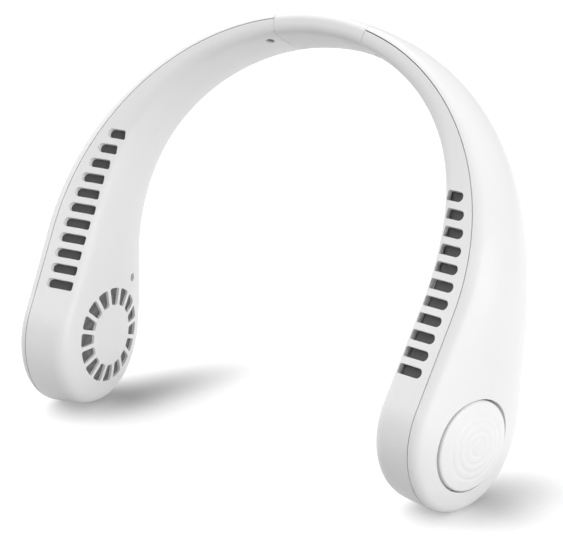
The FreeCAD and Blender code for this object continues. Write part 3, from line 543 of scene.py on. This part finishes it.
class NECKFAN_OT_bridge(bpy.types.Operator):
    """Makes the soft bridge, its spring strip and its wire, each in two halves"""

    bl_idname = "neckfan.bridge"
    bl_label = "Bridge"

    # In mm, out from the ring's line and back from the vents, in degrees, and in points each way
    sleeve_band = 1.368
    sleeve_face = 5.181
    sleeve_half = 12.221
    sleeve_draft = 4.0
    sleeve_bulges = (0.0, 1.137, 0.0, 1.793)
    sleeve_rounds = (2.474, 2.947, 2.947, 2.474)
    flat_points = 24
    corner_points = 14
    strip_out = (-1.4, -0.6)
    strip_side = (10.2, 17.2)
    strip_end = 19.0
    wire_radius = 1.0
    wire_out = -1.0
    wire_side = 18.6
    wire_points = 24
    wire_short = 0.3
    bend_side = 12.2
    steps = 40

    def execute(self, context):
        soft = moulded("sleeve_silicone", context.scene.neck_fan_colours.sleeve, roughness=0.45)
        steel = metal("strip_steel", (0.6, 0.6, 0.61), roughness=0.3, stretch=DRAWN_ALONG)
        rubber = moulded("harness_rubber", RUBBER, roughness=0.5)
        seam = math.radians(SEAM_ANGLE)
        parts = (
            ("neck_sleeve", self.section(), seam - SEAM_GAP / 2 / RING_RADIUS, "sleeve", soft),
            ("spring_strip", self.strip(), math.radians(self.strip_end), "steel", steel),
            ("link_harness", self.wire(), seam - math.radians(self.wire_short), "wire", rubber),
        )
        start = arch(np.array(0.0), np.array(self.bend_side), np.array(0.0))
        for node, (out, side), end_angle, slot, material in parts:
            for name, sign in (("right", 1.0), ("left", -1.0)):
                angles = np.linspace(0.0, sign * end_angle, self.steps)[:, None]
                rings = arch(out, side, angles)
                label = node + "_" + name
                piece = add_piece(label, closed_mesh(label, rings), material, [node])
                end = arch(np.array(0.0), np.array(self.bend_side), np.array(sign * seam))
                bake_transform(piece)
        return {"FINISHED"}

    def section(self):
        """The arm's outline at the seam: two shallow bulges, two tilted flats and four soft corners.

        A bulge is a parabola along its side, and a corner a curve of the second degree about its point.
        """
        band, face, half = self.sleeve_band, self.sleeve_face, self.sleeve_half
        tilt = math.tan(math.radians(self.sleeve_draft))
        corners = np.array([
            (band, -half - band * tilt), (-face, -half + face * tilt),
            (-face, half - face * tilt), (band, half + band * tilt)])
        run = np.linspace(0.0, 1.0, self.flat_points)[:, None]
        turn = np.linspace(0.0, 1.0, self.corner_points)[1:-1, None]
        sides = []
        for index, bulge in enumerate(self.sleeve_bulges):
            ahead = (index + 1) % len(corners)
            span = corners[ahead] - corners[index]
            length = np.linalg.norm(span)
            along = span / length
            normal = np.array([along[1], -along[0]])
            low = self.sleeve_rounds[index] / length
            high = 1.0 - self.sleeve_rounds[ahead] / length
            share = low + (high - low) * run
            sides.append(corners[index] + span * share - normal * bulge * 4 * share * (1 - share))
        outline = []
        for index, made in enumerate(sides):
            ahead = (index + 1) % len(sides)
            start, corner, end = made[-1], corners[ahead], sides[ahead][0]
            outline.append(made)
            outline.append((1 - turn) ** 2 * start + 2 * turn * (1 - turn) * corner + turn ** 2 * end)
        points = np.concatenate(outline)
        return points[:, 0], points[:, 1] + half

    def strip(self):
        """A flat spring-steel band: the four corners of a rectangle."""
        low, high = self.strip_out
        front, back = self.strip_side
        return np.array([low, high, high, low]), np.array([front, front, back, back])

    def wire(self):
        """A round wire: a circle."""
        turn = np.linspace(0.0, 2 * math.pi, self.wire_points, endpoint=False)
        out = self.wire_out + self.wire_radius * np.cos(turn)
        side = self.wire_side + self.wire_radius * np.sin(turn)
        return out, side


class NECKFAN_OT_inside(bpy.types.Operator):
    """Finishes the ducts, fans and everything inside the arms"""

    bl_idname = "neckfan.inside"
    bl_label = "Inside"

    thread_pitch = 1.2 * MM
    bronze_grain = 0.3 * MM
    foam_cell = 0.6 * MM

    def execute(self, context):
        colours = context.scene.neck_fan_colours
        looks = {
            # The duct's and both screens' dark greys are painted shade inside the vents and the intake slots
            "air_duct": moulded("duct_plastic_painted_shade", colours.duct, roughness=0.5),
            "impeller": moulded("impeller_plastic", colours.impeller, roughness=0.4),
            "vent_screen": woven("screen_gauze_painted_shade", colours.screen, self.thread_pitch),
            "intake_screen": woven("intake_gauze_painted_shade", colours.intake, self.thread_pitch),
            "shell_screws": metal("black_steel", (0.05, 0.05, 0.05), roughness=0.45),
            "motor_screws": metal("plate_screw_steel", (0.06, 0.06, 0.06), roughness=0.45),
            "motor_plate": moulded("plate_plastic", (0.35, 0.35, 0.35), roughness=0.5),
            "motor_can": metal("drawn_steel", (0.5, 0.5, 0.51), roughness=0.35, stretch=DRAWN_ROUND),
            "motor_bearing": speckled("sintered_bronze", (0.5, 0.33, 0.14), self.bronze_grain,
                                      contrast=0.4, roughness=0.5, metallic=1.0),
            "motor_shaft": metal("ground_steel", BRIGHT_STEEL, roughness=0.2, stretch=DRAWN_ALONG),
            "battery": wrapped("cell_film", (0.1, 0.2, 0.42)),
            "battery_pad": speckled("pad_foam", RUBBER, self.foam_cell, contrast=0.6, roughness=0.9),
            "leads": moulded("lead_rubber", RUBBER, roughness=0.5),
        }
        for kind, material in looks.items():
            for side in SIDES:
                paint(side + "_" + kind, material)
        paint("switch_plunger", moulded("plunger_plastic", (0.5, 0.5, 0.5), roughness=0.4))
        paint("switch_body", moulded("switch_plastic", RUBBER, roughness=0.4))
        paint("control_board", lacquered("board_lacquer", (0.02, 0.13, 0.04), (0.05, 0.22, 0.07)))
        paint("charge_socket", metal("socket_steel", BRIGHT_STEEL, roughness=0.28, stretch=DRAWN_ALONG))
        paint("charge_light", milky("light_guide", (0.85, 0.85, 0.85)))
        return {"FINISHED"}


class NECKFAN_OT_stage(bpy.types.Operator):
    """Sets the floor, the lamps and the camera"""

    bl_idname = "neckfan.stage"
    bl_label = "Stage"

    # The floor: its half width in metres, what it throws on the fan and its own glow
    floor_reach = 4.0
    bounce = (0.33, 0.33, 0.33)
    glow = (0.3, 0.3, 0.3)

    # The painted shadow beside each lobe: colour, the way it runs, and middle, length, width and peak of each
    painted_shadow_colour = (0.51, 0.51, 0.51)
    painted_shadow_way = (0.26, 0.966)
    painted_shadow_near_fall = -2.0
    painted_shadows = (
        ((-0.0675, -0.035), 0.050, 0.017, 1.0),
        ((0.091, -0.041), 0.032, 0.020, 0.73),
    )

    # The light all round, and the lamps: name, where from, strength and spread in degrees
    surround = 0.54
    suns = (
        ("back light", (-0.61, 0.0, 0.79), 0.64, 80.0),
        ("side light", (0.97, -0.1, 0.15), 0.52, 50.0),
        ("low light", (0.8, 0.3, -0.5), 0.27, 60.0),
    )

    # The camera: place and direction in the part's frame, roll in radians, lens and sensor in mm
    viewpoint = (0.4024, -0.5687, 0.1369)
    aim = (-0.5720, 0.7628, -0.3016)
    roll = -0.0044
    lens = 126.59
    sensor = 36.0

    def execute(self, context):
        scene = context.scene
        scene.view_settings.view_transform = "Standard"
        self.floor(scene)
        self.world(scene)
        self.lamps(scene)
        self.camera(scene)
        return {"FINISHED"}

    def floor(self, scene):
        """White paper: seen brighter than it lights the fan, but for the painted shadow beside each lobe."""
        level = CAD_BOX[0].z
        edge = self.floor_reach
        corners = [(-edge, -edge, level), (edge, -edge, level), (edge, edge, level), (-edge, edge, level)]
        mesh = bpy.data.meshes.new("floor")
        mesh.from_pydata(corners, [], [(0, 1, 2, 3)])
        look = Finish("floor_paper_painted_shadows")
        rays = [look.node("ShaderNodeLightPath", {}, {}, kind)
                for kind in ("Is Camera Ray", "Is Glossy Ray", "Is Transmission Ray")]
        seen = look.math("MINIMUM", rays[0] + rays[1] + rays[2], 1.0)
        # Painted shadow on the floor beside each lobe: there the paper darkens towards a grey and loses its
        # glow
        painted_shadow_mask = self.painted_lobe_shadow(look)
        paper = look.mix(painted_shadow_mask, tuple(scene.neck_fan_colours.floor), self.painted_shadow_colour)
        look.set(Base_Color=look.mix(seen, self.bounce, paper), Roughness=0.9, Specular_IOR_Level=0.0)
        look.set(Emission_Color=look.mix(seen * (1.0 - painted_shadow_mask), BLACK, self.glow), Emission_Strength=1.0)
        mesh.materials.append(look.material)
        floor = bpy.data.objects.new("floor", mesh)
        floor.visible_shadow = False
        scene.collection.objects.link(floor)

    def painted_lobe_shadow(self, look):
        """The painted shadow beside each lobe: a bell, longest along the shadow on its far side, times its
        peak.
        """
        axes = [look.node("ShaderNodeSeparateXYZ", {}, {"Vector": look.place}, name) for name in "XY"]
        total = 0.0
        for middle, length, width, peak in self.painted_shadows:
            x = axes[0] - middle[0]
            y = axes[1] - middle[1]
            along = (x * self.painted_shadow_way[0] + y * self.painted_shadow_way[1]) * (1.0 / length)
            across = (x * self.painted_shadow_way[1] - y * self.painted_shadow_way[0]) * (1.0 / width)
            along = look.math("MAXIMUM", along, along * self.painted_shadow_near_fall)
            bell = look.math("EXPONENT", 0.0 - (along * along + across * across))
            total = bell * peak + total
        return look.math("MINIMUM", total, 1.0)

    def world(self, scene):
        """Even light all round, seen as white by the camera."""
        world = bpy.data.worlds.new("studio")
        scene.world = world
        world.use_nodes = True
        tree = Tree(world.node_tree)
        seen = tree.node("ShaderNodeLightPath", {}, {}, "Is Camera Ray")
        even, white = [tree.node("ShaderNodeBackground", {}, {"Color": WHITE, "Strength": level})
                       for level in (self.surround, 1.0)]
        chosen = tree.node("ShaderNodeMixShader", {}, {0: seen, 1: even, 2: white})
        tree.plug(tree.nodes["World Output"].inputs["Surface"], chosen)

    def lamps(self, scene):
        """Broad suns: a white face square to one renders as its strength."""
        for name, direction, strength, spread in self.suns:
            data = bpy.data.lights.new(name, "SUN")
            data.energy = strength * math.pi
            data.angle = math.radians(spread)
            lamp = bpy.data.objects.new(name, data)
            lamp.rotation_euler = Vector(direction).to_track_quat("Z", "Y").to_euler()
            scene.collection.objects.link(lamp)

    def camera(self, scene):
        """Looks along its aim, upright, then rolls about it."""
        data = bpy.data.cameras.new("camera")
        data.lens = self.lens
        data.sensor_width = self.sensor
        camera = bpy.data.objects.new("camera", data)
        camera.location = self.viewpoint
        upright = Vector(self.aim).to_track_quat("-Z", "Y")
        camera.rotation_euler = (upright @ Quaternion((0.0, 0.0, 1.0), self.roll)).to_euler()
        scene.collection.objects.link(camera)
        scene.camera = camera


class NECKFAN_PT_panel(bpy.types.Panel):
    """Lists the steps in the sidebar"""

    bl_idname = "NECKFAN_PT_panel"
    bl_label = "Neck Fan"
    bl_space_type = "VIEW_3D"
    bl_region_type = "UI"
    bl_category = "Neck Fan"

    def draw(self, context):
        for step in STEPS:
            self.layout.operator(step.bl_idname)


STEPS = (NECKFAN_OT_shells, NECKFAN_OT_discs, NECKFAN_OT_bridge, NECKFAN_OT_inside, NECKFAN_OT_stage)
CLASSES = (FanSizes, FanColours) + STEPS + (NECKFAN_PT_panel,)


def register():
    for item in CLASSES:
        bpy.utils.register_class(item)
    bpy.types.Scene.neck_fan_sizes = PointerProperty(type=FanSizes)
    bpy.types.Scene.neck_fan_colours = PointerProperty(type=FanColours)


def unregister():
    del bpy.types.Scene.neck_fan_sizes
    del bpy.types.Scene.neck_fan_colours
    for item in reversed(CLASSES):
        bpy.utils.unregister_class(item)


def main():
    register()
    bpy.ops.neckfan.shells()
    bpy.ops.neckfan.discs()
    bpy.ops.neckfan.bridge()
    bpy.ops.neckfan.inside()
    bpy.ops.neckfan.stage()


if __name__ == "__main__":
    main()
